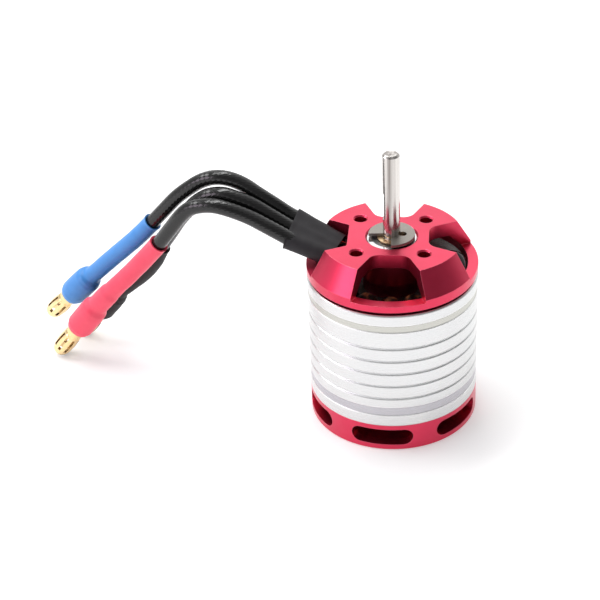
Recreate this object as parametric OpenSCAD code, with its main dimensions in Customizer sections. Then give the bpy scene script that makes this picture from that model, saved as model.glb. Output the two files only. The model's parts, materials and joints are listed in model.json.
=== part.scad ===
// Brushless outrunner motor: a fixed front cap with the stator on its bearing tube, and a can
// with magnets that turns round it on a shaft. Millimetres, +Z along the shaft towards the
// output end, origin at the centre of the rear bell's underside.

/* [Can and rear bell] */
// Outer diameter of the can, the rear bell and the cap's rim
can_d = 35; // [34:0.5:36]
// Thickness of the can's wall
can_wall = 1.3; // [1.2:0.05:1.4]
// Height of the rear bell's outer wall
bell_h = 6.2; // [6:0.1:6.6]
// Height of the can's upper edge
can_top = 33; // [32.8:0.1:33]
// Height of one cooling slot in the rear bell's wall
slot_h = 3.75; // [3:0.25:3.75]
// Angle of the first cooling slot about the shaft
slot_turn = 24.75; // [0:0.25:59.75]

/* [Front cap] */
// Gap between the can and the cap's rim
cap_gap = 0.3; // [0.3:0.05:0.5]
// Height of the cap's top face
cap_top = 41; // [40.9:0.1:41.4]
// Radius of the cap's top face
cap_face_r = 14.43; // [14.2:0.05:14.8]
// Half of the angle of each cap window
window_half = 25; // [22:1:26]
// Diameter of the circle through the mounting holes
hole_circle_d = 19; // [19:0.5:20]
// Diameter of a mounting hole, tapped M3
hole_d = 2.5; // [2.4:0.05:2.6]

/* [Shaft and bearings] */
// Diameter of the shaft
shaft_d = 3.5; // [3.4:0.05:3.5]
// Height of the shaft's free end
shaft_top = 59.7; // [56:0.1:64]
// Outer diameter of a bearing
bearing_d = 10; // [10:0.1:10.2]
// Width of a bearing
bearing_w = 4; // [3.9:0.1:4]
// Number of balls in a bearing
ball_count = 7; // [6:1:8]

/* [Stator and magnets] */
// Number of stator teeth
tooth_count = 12; // [12:12:12]
// Number of magnets
pole_count = 10; // [8:2:14]
// Outer diameter of the stator's core
stator_d = 28; // [27.8:0.1:28]
// Length of the stator's stack
stack_h = 18; // [17:0.5:18]

/* [Leads] */
// Diameter of a braided lead
lead_d = 3.2; // [3:0.1:3.2]
// Diameter of the heat-shrink tube on a lead
shrink_d = 3.8; // [3.6:0.1:3.8]
// Diameter of a bullet connector's pin
pin_d = 4; // [3.9:0.05:4]

/* [Hidden] */
$fn = 96;

can_r = can_d / 2;
can_bore_r = can_r - can_wall;
shaft_r = shaft_d / 2;
eps = 0.5;                               // how far a cutter runs past a face
sink = 0.4;                              // how far a rib or tooth starts inside its neighbour

// Rear bell
floor_t = 1.1;
bell_wall = 1.9;
spigot_h = 2;
spigot_wall = 0.7;
slot_n = 6;
slot_low = 1.36;
slot_z = slot_low + slot_h / 2;
slot_end_turn = 15.3;                    // from a slot's middle to its end's centre
bell_hub_r = 4.8;
bell_hub_h = 8;
rib_w = 3;
rib_h = 4.5;
screw_r = 1.5;
screw_z = 3.2;
screw_play = 0.02;                       // from a set screw's tip to the shaft
screw_sunk = 0.2;
socket_r = 0.85;
socket_depth = 1.4;
screw_turns = [slot_turn, slot_turn + 120];

// Can
band_depth = 0.15;
wide_bands = [[8.62, 10.77], [28.9, 30.6]];
thin_groove_z = 19;
thin_groove_pitch = 3.03;
thin_groove_w = 0.5;
thin_groove_depth = 0.3;

// Front cap
rim_z = can_top + cap_gap;
cone_z = 35.8;
ledge_z = 35.2;
ledge_r = 15.4;
plate_z = 38;
cavity_top_r = 12.6;
boss_r = 6.6;
boss_z = 33;
tube_r = 6;
tube_z = 9;
tube_bore_r = 4;
seat_r = bearing_d / 2;
seat_edge_r = 5.4;
seat_recess = 0.4;
edge = 0.25;
window_in = 7.5;
lead_window_in = 8.84;
window_corner_r = 2.4;
lead_corner_r = 0.6;
hole_edge_r = 1.55;

// Bearings
front_bearing_z = cap_top - seat_recess - bearing_w;
rear_bearing_z = tube_z + 0.4;
inner_race_r = 2.75;
outer_race_r = 4.05;
ball_r = 0.79;
ball_play = 0.03;
ball_circle_r = (shaft_r + seat_r) / 2;
cage_t = 0.5;
cage_h = 2.2;
shield_t = 0.15;
shield_inset = 0.15;
shield_r = 2.9;

// Stator
stack_z = 11.5;
yoke_r = 7.8;
tooth_w = 1.9;
shoe_in_r = 12.9;
shoe_turn = 12.2;                        // half of a tooth's shoe
shoe_foot = 0.6;
insulator_t = 0.3;
coil_z = 9;
coil_top = 32;
coil_in_r = 8.5;
coil_out_r = 12.6;
coil_in_half = 2.1;
coil_out_half = 3;
coil_corner_r = 2.2;
magnet_t = 1.85;
magnet_z = 9.5;
magnet_top = 31;
magnet_gap = 4;                          // degrees between two magnets

// Shaft fittings
shaft_z = 0.5;
foot_edge = 0.3;
tip_edge = 0.4;
groove_r = 1.5;
groove_z = cap_top;
clip_t = 0.6;
clip_r = 4.7;
clip_gap_turn = 227;
clip_gap_half = 44;
hollow_turn = 128;
hollow_at = 2.2;
hollow_r = 0.85;
shim_t = 0.3;
shim_r = 2.9;
spacer_r = 2.6;
flat_z = 45.1;
flat_h = 6;
flat_depth = 0.25;
flat_turn = 186;
seam_turn = 43.5;                        // where the shaft's wall closes, away from the flat

// Leads. Each route runs from inside the collar to the back of its bullet connector, and
// the bullet points at the aim that follows.
collar_in = [-11.2, 0.4, 37];
collar_out = [-20.8, 3.8, 40.1];
collar_in_half = 2.2;                    // from the middle wire to an outer one
collar_out_half = 3.2;
collar_t = 3.9;
collar_roll = 11;
blue_route = [[-17, 6.5, 39.5], [-21, 7.5, 41], [-24.5, 8, 43.25], [-28, 8.5, 45.5],
              [-31, 9.25, 47.25], [-34, 9.75, 48.25], [-37, 10.25, 48.25], [-40, 11, 47],
              [-43, 11.75, 44.75], [-46, 12.5, 42], [-49, 13.25, 38.5], [-51.8, 14.1, 35.15],
              [-56.15, 15.55, 30.15], [-60.25, 17.4, 25.75], [-63.9, 18.95, 21.85],
              [-69, 21.15, 16.3]];
blue_aim = [-80.05, 25.65, 3.95];
red_route = [[-17, -0.5, 38], [-21, 0.5, 39.75], [-25, 1.25, 41.75], [-29, 2.25, 43.5],
             [-33, 3, 44.75], [-36.5, 3.75, 45.25], [-39.5, 4.5, 44.75], [-42, 5.25, 43.5],
             [-44, 5.75, 41.5], [-46.5, 6.5, 38], [-49.5, 7.5, 33.75], [-53.5, 8.75, 28.75],
             [-57.55, 9.75, 24.05], [-61.2, 10.55, 20.15], [-65.9, 11.9, 14.55]];
red_aim = [-76.1, 14.45, 1.2];
black_route = [[-17, 3, 38.75], [-21, 4, 40.25], [-25, 4.75, 42.5], [-29, 5.5, 44.75],
               [-32, 6, 45.75], [-35, 6.75, 46.25], [-38, 7.5, 45.5], [-40.5, 8.25, 43.75],
               [-42.5, 9, 41.5], [-45, 10.25, 38.25], [-47.5, 11.25, 34.25],
               [-50, 12.25, 30.25], [-52.05, 13.35, 26.15], [-54.6, 14.85, 22.45],
               [-57.6, 16.4, 19.1], [-62.5, 18.25, 14.4]];
black_aim = [-72.3, 22.65, 1.2];
lead_sides = 8;
shrink_rings = 4;                        // route points that the shrink tube covers
shrink_sides = 12;
bulge_d = 6;
press = 0.05;                            // how far a shrink tube bites into what it grips
// The swelling over a bullet's body: distances from the body's back, and radii
swell_at = [-1.8, -0.2, 1.6];
swell_r = [shrink_d / 2, bulge_d / 2 - 0.25, bulge_d / 2];
// The same for the tube's mouth, at distances from its end
mouth_at = [-1.2, -0.3, 0];
mouth_r = [bulge_d / 2, bulge_d / 2 - 0.35, bulge_d / 2 - 0.75];
bore_step = 0.3;                         // length of a change of the tube's bore
bullet_l = 17.2;
bullet_body_r = 2.55;
bullet_body_z = 0.2;
bullet_body_l = 7.4;
bullet_show = 8.6;
neck_depth = 0.25;
neck_end = 2.4;                          // this and the next four start at the body's front
pin_start = 2.8;
hollow_z = 3;
bullet_slot_z = 4;
bullet_slot_l = 4.3;
pin_wall = 0.7;
tip_taper = [0.5, 0.6];
bullet_slot_w = 0.3;
bullet_slot_turn = 7.5;
sleeve_d = 2.4;
sleeve_route = [[8.3, -3, 33.3], [8.8, -1, 34.3], [10.2, 0.6, 35.3], [12, 1, 35.8],
                [13.3, 0, 35.7], [13.8, -2, 35.2], [13.4, -4, 34.6], [12.6, -6, 34],
                [11.6, -7.6, 33.5]];
tail_d = 1.3;
tail_route = [[-10.5, 0, 32.4], [-8.6, 0, 33.6], [-8, 0, 35], [-8.7, 0, 36.2],
              [-10.2, 0, 36.8], [-12.5, 0, 37.5]];

function unit(v) = v / norm(v);

// The direction of a route at point i
function heading(route, i) =
    unit(route[min(i + 1, len(route) - 1)] - route[max(i - 1, 0)]);

// A ring of n points round p, square to d
function ring(p, d, r, n) =
    let (side = unit(cross(d, [0, 0, 1])), up = cross(side, d))
    [for (k = [0:n - 1]) p + r * (cos(360 * k / n) * side + sin(360 * k / n) * up)];

// The faces of a closed tube made of m rings of n points
function tube_faces(m, n) = concat(
    [[for (k = [n - 1:-1:0]) k]],
    [for (i = [0:m - 2], k = [0:n - 1])
        [i * n + k, i * n + (k + 1) % n, (i + 1) * n + (k + 1) % n, (i + 1) * n + k]],
    [[for (k = [0:n - 1]) (m - 1) * n + k]]);

// A tube along a route, with a radius for each of its points
module sweep(route, radii, n = lead_sides) {
    polyhedron([for (i = [0:len(route) - 1]) each ring(route[i], heading(route, i), radii[i], n)],
               tube_faces(len(route), n));
}

// A tube of one diameter along a route
module cord(route, d) {
    sweep(route, [for (p = route) d / 2]);
}

// The outline of a rectangle centred on the origin, with rounded corners
function rounded_rect(w, h, r, steps = 6) =
    [for (q = [0:3], s = [0:steps])
        let (a = 90 * q + 90 * s / steps,
             sx = (q == 0 || q == 3) ? 1 : -1,
             sy = q < 2 ? 1 : -1)
        [sx * (w / 2 - r) + r * cos(a), sy * (h / 2 - r) + r * sin(a)]];

// The outline of a cap window on +X: a sector cut square at its inner end, its corners rounded
function window_outline(inner, r, steps = 8) =
    let (a = window_half,
         cx = inner + r,
         cy = (cx * sin(a) - r) / cos(a),
         out = can_r + 3,
         turns = [for (s = [0:steps]) (90 - a) * s / steps])
    concat([for (t = turns) [cx + r * cos(90 + a + t), cy + r * sin(90 + a + t)]],
           [for (t = turns) [cx + r * cos(180 + t), -cy + r * sin(180 + t)]],
           [[out, -out * tan(a)], [out, out * tan(a)]]);

// A slot through the wall: a sector, and a prism with a round end over each end of it
module slot_cutter() {
    r = slot_h / 2;
    inner = can_r - bell_wall - spigot_wall;
    depth = bell_wall + spigot_wall + 1;
    for (side = [-1, 1])
        rotate([0, 0, side * slot_end_turn])
            translate([inner - eps, 0, slot_z])
                rotate([90, 0, 90])
                    linear_extrude(depth)
                        polygon(concat([[-side * eps, -r]],
                                       [for (a = [-90:22.5:90]) r * [side * cos(a), sin(a)]],
                                       [[-side * eps, r]]));
    rotate([0, 0, -slot_end_turn])
        rotate_extrude(angle = 2 * slot_end_turn)
            translate([inner, slot_low])
                square([depth, slot_h]);
}

module rear_bell() {
    color("firebrick")
    difference() {
        union() {
            rotate([0, 0, slot_turn + 360 / slot_n])
                rotate_extrude()
                    polygon([[shaft_r, 0], [can_r - edge, 0], [can_r, edge], [can_r, bell_h],
                             [can_bore_r, bell_h], [can_bore_r, bell_h + spigot_h],
                             [can_bore_r - spigot_wall, bell_h + spigot_h],
                             [can_bore_r - spigot_wall, bell_h],
                             [can_r - bell_wall, bell_h - 0.5], [can_r - bell_wall, floor_t],
                             [bell_hub_r, floor_t], [bell_hub_r, bell_hub_h],
                             [shaft_r, bell_hub_h]]);
            for (i = [0:slot_n - 1])
                rotate([0, 0, slot_turn + (i + 0.5) * 360 / slot_n])
                    translate([bell_hub_r - sink, -rib_w / 2, floor_t / 2])
                        cube([can_r - bell_wall - bell_hub_r + 2 * sink, rib_w,
                              rib_h - floor_t / 2]);
        }
        for (i = [0:slot_n - 1])
            rotate([0, 0, slot_turn + i * 360 / slot_n])
                slot_cutter();
        for (turn = screw_turns)
            rotate([0, 0, turn])
                translate([0, 0, screw_z])
                    rotate([0, 90, 0])
                        cylinder(r = screw_r, h = bell_hub_r + eps);
    }
}

module bell_set_screws() {
    color("dimgray")
    for (turn = screw_turns)
        rotate([0, 0, turn])
            translate([0, 0, screw_z])
                rotate([0, 90, 0])
                    difference() {
                        translate([0, 0, shaft_r + screw_play])
                            cylinder(r = screw_r, h = bell_hub_r - screw_sunk - shaft_r);
                        translate([0, 0, bell_hub_r - socket_depth])
                            cylinder(r = socket_r, h = socket_depth + eps, $fn = 6);
                    }
}

module rotor_can() {
    wall = [for (b = wide_bands)
        each [[can_r, b[0]], [can_r - band_depth, b[0] + band_depth],
              [can_r - band_depth, b[1] - band_depth], [can_r, b[1]]]];
    grooves = [for (k = [-2:2]) let (z = thin_groove_z + k * thin_groove_pitch)
        each [[can_r, z - thin_groove_w / 2], [can_r - thin_groove_depth, z],
              [can_r, z + thin_groove_w / 2]]];
    color("gainsboro")
    rotate_extrude()
        polygon(concat([[can_bore_r, bell_h], [can_r, bell_h]],
                       [for (i = [0:3]) wall[i]], grooves, [for (i = [4:7]) wall[i]],
                       [[can_r, can_top - edge], [can_r - edge, can_top],
                        [can_bore_r, can_top]]));
}

// Every second magnet, starting with the one numbered first
module magnets(first) {
    step = 360 / pole_count;
    for (i = [first:2:pole_count - 1])
        rotate([0, 0, i * step + magnet_gap / 2])
            rotate_extrude(angle = step - magnet_gap)
                translate([can_bore_r - magnet_t, magnet_z])
                    square([magnet_t, magnet_top - magnet_z]);
}

module magnets_north() {
    color("silver") magnets(0);
}

module magnets_south() {
    color("darkgray") magnets(1);
}

module front_cap() {
    color("crimson")
    difference() {
        rotate_extrude()
            polygon([[seat_r, tube_z], [tube_r, tube_z], [tube_r, boss_z], [boss_r, boss_z],
                     [boss_r, plate_z], [cavity_top_r, plate_z], [ledge_r, ledge_z],
                     [ledge_r, rim_z], [can_r - 2 * edge, rim_z], [can_r, rim_z + 2 * edge],
                     [can_r, cone_z], [cap_face_r, cap_top], [seat_edge_r, cap_top],
                     [seat_r, cap_top - seat_recess], [seat_r, front_bearing_z],
                     [tube_bore_r, front_bearing_z], [tube_bore_r, rear_bearing_z + bearing_w],
                     [seat_r, rear_bearing_z + bearing_w]]);
        for (turn = [0, 90, 270])
            rotate([0, 0, turn])
                translate([0, 0, ledge_z])
                    linear_extrude(cap_top)
                        polygon(window_outline(window_in, window_corner_r));
        rotate([0, 0, 180])
            translate([0, 0, ledge_z])
                linear_extrude(cap_top)
                    polygon(window_outline(lead_window_in, lead_corner_r));
        for (turn = [45:90:315])
            rotate([0, 0, turn])
                translate([hole_circle_d / 2, 0, 0]) {
                    translate([0, 0, plate_z - eps])
                        cylinder(d = hole_d, h = cap_top - plate_z + 2 * eps);
                    translate([0, 0, cap_top + hole_d / 2 - hole_edge_r])
                        cylinder(r1 = hole_d / 2, r2 = hole_d / 2 + eps, h = eps);
                }
    }
}

// A bearing's ring between two radii, with the balls' track round it at half its width
module race(z, inner, outer) {
    translate([0, 0, z])
        difference() {
            rotate_extrude()
                translate([inner, 0])
                    square([outer - inner, bearing_w]);
            translate([0, 0, bearing_w / 2])
                rotate_extrude()
                    translate([ball_circle_r, 0])
                        circle(r = ball_r + ball_play, $fn = 48);
        }
}

module ball_set(z) {
    for (i = [0:ball_count - 1])
        rotate([0, 0, i * 360 / ball_count])
            translate([ball_circle_r, 0, z + bearing_w / 2])
                sphere(r = ball_r, $fn = 48);
}

module cage(z) {
    difference() {
        translate([0, 0, z + (bearing_w - cage_h) / 2])
            rotate_extrude()
                translate([ball_circle_r - cage_t / 2, 0])
                    square([cage_t, cage_h]);
        for (i = [0:ball_count - 1])
            rotate([0, 0, i * 360 / ball_count])
                translate([ball_circle_r, 0, z + bearing_w / 2])
                    sphere(r = ball_r + ball_play, $fn = 48);
    }
}

module shields(z) {
    for (h = [shield_inset, bearing_w - shield_inset - shield_t])
        translate([0, 0, z + h])
            rotate_extrude()
                translate([shield_r, 0])
                    square([outer_race_r - shield_r, shield_t]);
}

module front_bearing_outer_race() {
    color("silver") race(front_bearing_z, outer_race_r, seat_r);
}

module front_bearing_inner_race() {
    color("silver") race(front_bearing_z, shaft_r, inner_race_r);
}

module front_bearing_balls() {
    color("white") ball_set(front_bearing_z);
}

module front_bearing_cage() {
    color("goldenrod") cage(front_bearing_z);
}

module front_bearing_shields() {
    color("gray") shields(front_bearing_z);
}

module rear_bearing_outer_race() {
    color("silver") race(rear_bearing_z, outer_race_r, seat_r);
}

module rear_bearing_inner_race() {
    color("silver") race(rear_bearing_z, shaft_r, inner_race_r);
}

module rear_bearing_balls() {
    color("white") ball_set(rear_bearing_z);
}

module rear_bearing_cage() {
    color("goldenrod") cage(rear_bearing_z);
}

module rear_bearing_shields() {
    color("gray") shields(rear_bearing_z);
}

// One lamination: the yoke, the teeth and their shoes
module lamination() {
    stator_r = stator_d / 2;
    difference() {
        circle(r = yoke_r);
        circle(r = tube_r);
    }
    for (i = [0:tooth_count - 1])
        rotate(i * 360 / tooth_count) {
            translate([yoke_r - sink, -tooth_w / 2])
                square([shoe_in_r - yoke_r + 2 * sink, tooth_w]);
            polygon(concat(
                [[shoe_in_r, -tooth_w / 2 - shoe_foot]],
                [for (s = [-3:3]) let (a = shoe_turn * s / 3) stator_r * [cos(a), sin(a)]],
                [[shoe_in_r, tooth_w / 2 + shoe_foot]]));
        }
}

module stator_core() {
    color("slategray")
    translate([0, 0, stack_z])
        linear_extrude(stack_h)
            lamination();
}

module slot_insulators() {
    color("darkgreen")
    for (z = [stack_z - insulator_t, stack_z + stack_h])
        translate([0, 0, z])
            linear_extrude(insulator_t)
                lamination();
}

// One coil round a tooth on +X
module coil() {
    difference() {
        intersection() {
            linear_extrude(coil_top + 1)
                polygon([[coil_in_r, -coil_in_half], [coil_out_r, -coil_out_half],
                         [coil_out_r, coil_out_half], [coil_in_r, coil_in_half]]);
            translate([coil_in_r - 1, 0, (coil_z + coil_top) / 2])
                rotate([90, 0, 90])
                    linear_extrude(coil_out_r - coil_in_r + 2)
                        polygon(rounded_rect(2 * coil_out_half, coil_top - coil_z, coil_corner_r));
        }
        translate([coil_in_r - 1, -tooth_w / 2, stack_z - insulator_t])
            cube([coil_out_r - coil_in_r + 2, tooth_w, stack_h + 2 * insulator_t]);
    }
}

// The four coils of one phase: two side by side, and two opposite them
module phase(first) {
    for (i = [first, first + 1, first + 6, first + 7])
        rotate([0, 0, i * 360 / tooth_count])
            coil();
}

module phase_a_coils() {
    color("chocolate") phase(0);
}

module phase_b_coils() {
    color("sienna") phase(2);
}

module phase_c_coils() {
    color("peru") phase(4);
}

module winding_sleeve() {
    color("black") cord(sleeve_route, sleeve_d);
}

module phase_tails() {
    color("chocolate")
    for (side = [-1:1])
        translate([0, collar_in[1] + side * collar_in_half, side * collar_in_half * sin(collar_roll)])
            cord(tail_route, tail_d);
}

module shaft() {
    color("lightgray")
    difference() {
        rotate([0, 0, seam_turn])
            rotate_extrude()
                polygon([[0, shaft_z], [shaft_r - foot_edge, shaft_z],
                         [shaft_r, shaft_z + foot_edge], [shaft_r, groove_z],
                         [groove_r, groove_z], [groove_r, groove_z + clip_t],
                         [shaft_r, groove_z + clip_t], [shaft_r, shaft_top - tip_edge],
                         [shaft_r - tip_edge, shaft_top], [0, shaft_top]]);
        rotate([0, 0, flat_turn])
            translate([shaft_r - flat_depth, -shaft_r, flat_z])
                cube([shaft_r, 2 * shaft_r, flat_h]);
    }
}

// An E-shaped clip: three fingers reach into the shaft's groove, with a hollow on each side
// of the middle one
module shaft_clip() {
    color("dimgray")
    translate([0, 0, groove_z])
        rotate([0, 0, clip_gap_turn])
            linear_extrude(clip_t)
                difference() {
                    circle(r = clip_r);
                    circle(r = groove_r);
                    polygon(concat([[0, 0]],
                        [for (s = [-4:4]) 1.5 * clip_r
                            * [cos(clip_gap_half * s / 4), sin(clip_gap_half * s / 4)]]));
                    for (side = [-1, 1])
                        rotate(side * hollow_turn)
                            translate([hollow_at, 0])
                                circle(r = hollow_r, $fn = 32);
                }
}

module shaft_shim() {
    color("goldenrod")
    translate([0, 0, cap_top - seat_recess])
        difference() {
            cylinder(r = shim_r, h = shim_t);
            translate([0, 0, -eps]) cylinder(r = shaft_r, h = shim_t + 2 * eps);
        }
}

module rear_spacer() {
    color("darkkhaki")
    translate([0, 0, bell_hub_h])
        difference() {
            cylinder(r = spacer_r, h = rear_bearing_z - bell_hub_h);
            translate([0, 0, -eps])
                cylinder(r = shaft_r, h = rear_bearing_z - bell_hub_h + 2 * eps);
        }
}

// The outline of the collar: a flat tube round three wires side by side
function collar_ring(p, half, roll) =
    let (d = unit(collar_out - collar_in),
         level = unit(cross([0, 0, 1], d)),
         side = sin(roll) * cross(d, level) - cos(roll) * level,
         up = cross(side, d),
         r = collar_t / 2)
    concat([for (s = [0:6]) let (a = -90 + 30 * s)
               p + (half + r * cos(a)) * side + r * sin(a) * up],
           [for (s = [0:6]) let (a = 90 + 30 * s)
               p + (-half + r * cos(a)) * side + r * sin(a) * up]);

module lead_collar() {
    color([0.15, 0.15, 0.15])
    polyhedron([for (t = [0:0.25:1])
                    each collar_ring(collar_in + t * (collar_out - collar_in),
                                     collar_in_half + t * (collar_out_half - collar_in_half),
                                     collar_roll)],
               tube_faces(5, 14));
}

module lead_blue() {
    color("black") cord(blue_route, lead_d);
}

module lead_red() {
    color("black") cord(red_route, lead_d);
}

module lead_black() {
    color("black") cord(black_route, lead_d);
}

// The shrink tube over a lead's last points and most of its bullet
module shrink(route, aim) {
    n = len(route);
    back = route[n - 1];
    d = unit(aim - back);
    end = bullet_l - bullet_show;
    covered = [for (i = [n - 1 - shrink_rings:n - 2]) route[i]];
    wire_r = lead_d / 2 - press;
    difference() {
        sweep(concat(covered, [for (t = swell_at) back + t * d],
                     [for (t = mouth_at) back + (end + t) * d]),
              concat([for (p = covered) shrink_d / 2], swell_r, mouth_r),
              shrink_sides);
        sweep(concat([covered[0] + unit(covered[0] - covered[1])], covered,
                     [for (t = [-bore_step, 0, bullet_body_l, bullet_body_l + bore_step, end + 1])
                         back + t * d]),
              concat([wire_r], [for (p = covered) wire_r],
                     [wire_r, bullet_body_r - press, bullet_body_r - press,
                      pin_d / 2 - press, pin_d / 2 - press]),
              shrink_sides);
    }
}

module shrink_blue() {
    color("dodgerblue") shrink(blue_route, blue_aim);
}

module shrink_red() {
    color("tomato") shrink(red_route, red_aim);
}

module shrink_black() {
    color([0.12, 0.12, 0.12]) shrink(black_route, black_aim);
}

// A bullet connector from its back, at p, towards aim: a solder cup and a slotted pin
module bullet(p, aim) {
    d = unit(aim - p);
    r = pin_d / 2;
    color("gold")
    translate(p)
        rotate([0, acos(d[2]), atan2(d[1], d[0])])
            difference() {
                rotate_extrude()
                    polygon([[0, bullet_body_z], [bullet_body_r, bullet_body_z],
                             [bullet_body_r, bullet_body_l], [r - neck_depth, bullet_body_l],
                             [r - neck_depth, bullet_body_l + neck_end],
                             [r, bullet_body_l + pin_start], [r, bullet_l - tip_taper[1]],
                             [r - tip_taper[0], bullet_l], [0, bullet_l]]);
                translate([0, 0, bullet_body_l + hollow_z])
                    cylinder(r = r - pin_wall, h = bullet_l);
                for (turn = [0:45:135])
                    rotate([0, 0, turn + bullet_slot_turn])
                        translate([-bullet_slot_w / 2, -r - eps, bullet_body_l + bullet_slot_z])
                            cube([bullet_slot_w, 2 * r + 2 * eps, bullet_slot_l]);
            }
}

module bullet_blue() {
    bullet(blue_route[len(blue_route) - 1], blue_aim);
}

module bullet_red() {
    bullet(red_route[len(red_route) - 1], red_aim);
}

module bullet_black() {
    bullet(black_route[len(black_route) - 1], black_aim);
}

front_cap();
front_bearing_outer_race();
front_bearing_inner_race();
front_bearing_balls();
front_bearing_cage();
front_bearing_shields();
rear_bearing_outer_race();
rear_bearing_inner_race();
rear_bearing_balls();
rear_bearing_cage();
rear_bearing_shields();
stator_core();
slot_insulators();
phase_a_coils();
phase_b_coils();
phase_c_coils();
winding_sleeve();
phase_tails();
rotor_can();
magnets_north();
magnets_south();
rear_bell();
shaft();
shaft_clip();
shaft_shim();
rear_spacer();
bell_set_screws();
lead_collar();
lead_blue();
lead_red();
lead_black();
shrink_blue();
shrink_red();
shrink_black();
bullet_blue();
bullet_red();
bullet_black();
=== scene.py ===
"""Brushless outrunner motor: materials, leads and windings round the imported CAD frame. Metres."""

import json
import math

import bmesh
import bpy
from mathutils import Matrix, Vector, noise


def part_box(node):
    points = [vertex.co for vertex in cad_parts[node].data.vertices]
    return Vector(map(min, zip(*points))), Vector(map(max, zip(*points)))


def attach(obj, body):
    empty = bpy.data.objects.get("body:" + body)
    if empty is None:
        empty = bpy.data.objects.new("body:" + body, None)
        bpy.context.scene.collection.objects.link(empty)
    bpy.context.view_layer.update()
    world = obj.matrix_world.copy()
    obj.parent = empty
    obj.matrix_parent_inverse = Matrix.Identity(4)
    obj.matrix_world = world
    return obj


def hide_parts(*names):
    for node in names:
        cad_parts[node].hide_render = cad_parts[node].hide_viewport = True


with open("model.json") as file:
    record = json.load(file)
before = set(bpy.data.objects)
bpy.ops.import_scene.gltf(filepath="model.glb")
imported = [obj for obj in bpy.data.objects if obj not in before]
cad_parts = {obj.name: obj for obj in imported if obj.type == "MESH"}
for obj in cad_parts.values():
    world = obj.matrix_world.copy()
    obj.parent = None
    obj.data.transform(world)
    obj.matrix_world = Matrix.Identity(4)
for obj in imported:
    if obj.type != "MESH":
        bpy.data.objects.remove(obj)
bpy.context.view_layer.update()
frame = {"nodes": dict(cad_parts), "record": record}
nodes = frame["nodes"]
MM = 0.001

# ---------------------------------------------------------------- camera
# It looks along +Y, turned towards +X by the yaw and tilted down by the pitch, then rolled.
CAMERA_PLACE = Vector((0.01565, -0.28905, 0.21409))
CAMERA_YAW = math.radians(-6.8806)
CAMERA_PITCH = math.radians(32.989)
CAMERA_ROLL = math.radians(-2.7096)
CAMERA_LENS = 100.14                     # millimetres, on a sensor as wide as below
CAMERA_SENSOR = 36


def make_camera():
    data = bpy.data.cameras.new("camera")
    data.lens = CAMERA_LENS
    data.sensor_width = CAMERA_SENSOR
    data.clip_start, data.clip_end = 0.01, 10
    camera = bpy.data.objects.new("camera", data)
    bpy.context.scene.collection.objects.link(camera)
    flat = math.cos(CAMERA_PITCH)
    forward = Vector((math.sin(CAMERA_YAW) * flat, math.cos(CAMERA_YAW) * flat,
                      -math.sin(CAMERA_PITCH)))
    right = forward.cross(Vector((0, 0, 1))).normalized()
    up = right.cross(forward)
    x = math.cos(CAMERA_ROLL) * right + math.sin(CAMERA_ROLL) * up
    y = -math.sin(CAMERA_ROLL) * right + math.cos(CAMERA_ROLL) * up
    turn = Matrix((x, y, -forward)).transposed().to_4x4()
    camera.matrix_world = Matrix.Translation(CAMERA_PLACE) @ turn
    bpy.context.scene.camera = camera


make_camera()

# ---------------------------------------------------------------- cord routes
# Millimetres, as in the CAD. Each lead runs from inside the collar to the back of its bullet
# connector, which points at the lead's own place in AIMS.
ROUTES = {
    "blue": [(-17, 6.5, 39.5), (-21, 7.5, 41), (-24.5, 8, 43.25), (-28, 8.5, 45.5),
             (-31, 9.25, 47.25), (-34, 9.75, 48.25), (-37, 10.25, 48.25), (-40, 11, 47),
             (-43, 11.75, 44.75), (-46, 12.5, 42), (-49, 13.25, 38.5), (-51.8, 14.1, 35.15),
             (-56.15, 15.55, 30.15), (-60.25, 17.4, 25.75), (-63.9, 18.95, 21.85),
             (-69, 21.15, 16.3)],
    "red": [(-17, -0.5, 38), (-21, 0.5, 39.75), (-25, 1.25, 41.75), (-29, 2.25, 43.5),
            (-33, 3, 44.75), (-36.5, 3.75, 45.25), (-39.5, 4.5, 44.75), (-42, 5.25, 43.5),
            (-44, 5.75, 41.5), (-46.5, 6.5, 38), (-49.5, 7.5, 33.75), (-53.5, 8.75, 28.75),
            (-57.55, 9.75, 24.05), (-61.2, 10.55, 20.15), (-65.9, 11.9, 14.55)],
    "black": [(-17, 3, 38.75), (-21, 4, 40.25), (-25, 4.75, 42.5), (-29, 5.5, 44.75),
              (-32, 6, 45.75), (-35, 6.75, 46.25), (-38, 7.5, 45.5), (-40.5, 8.25, 43.75),
              (-42.5, 9, 41.5), (-45, 10.25, 38.25), (-47.5, 11.25, 34.25),
              (-50, 12.25, 30.25), (-52.05, 13.35, 26.15), (-54.6, 14.85, 22.45),
              (-57.6, 16.4, 19.1), (-62.5, 18.25, 14.4)],
}
AIMS = {"blue": (-80.05, 25.65, 3.95), "red": (-76.1, 14.45, 1.2), "black": (-72.3, 22.65, 1.2)}
COLLAR_IN = Vector((-11.2, 0.4, 37)) * MM       # the middle of the collar's inner end
COLLAR_OUT = Vector((-20.8, 3.8, 40.1)) * MM    # and of its outer end
COLLAR_IN_HALF = 2.2 * MM                # half the width of its flat side at the inner end
COLLAR_OUT_HALF = 3.2 * MM               # and at the outer end
COLLAR_T = 3.9 * MM
COLLAR_ROLL = math.radians(11)           # about its own length
LEAD_R = 1.6 * MM
BULLET_L = 17.2 * MM
BULLET_SHOW = 8.6 * MM                   # how much of a bullet the heat-shrink leaves bare
PIN_R = 2 * MM


# ---------------------------------------------------------------- mesh helpers
def link(name, mesh, body, material, sharp=35):
    """A finished mesh as a piece that rides on a body."""
    mesh.shade_smooth()
    mesh.set_sharp_from_angle(angle=math.radians(sharp))
    piece = bpy.data.objects.new(name, mesh)
    bpy.context.scene.collection.objects.link(piece)
    mesh.materials.append(material)
    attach(piece, body)
    return piece


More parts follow.
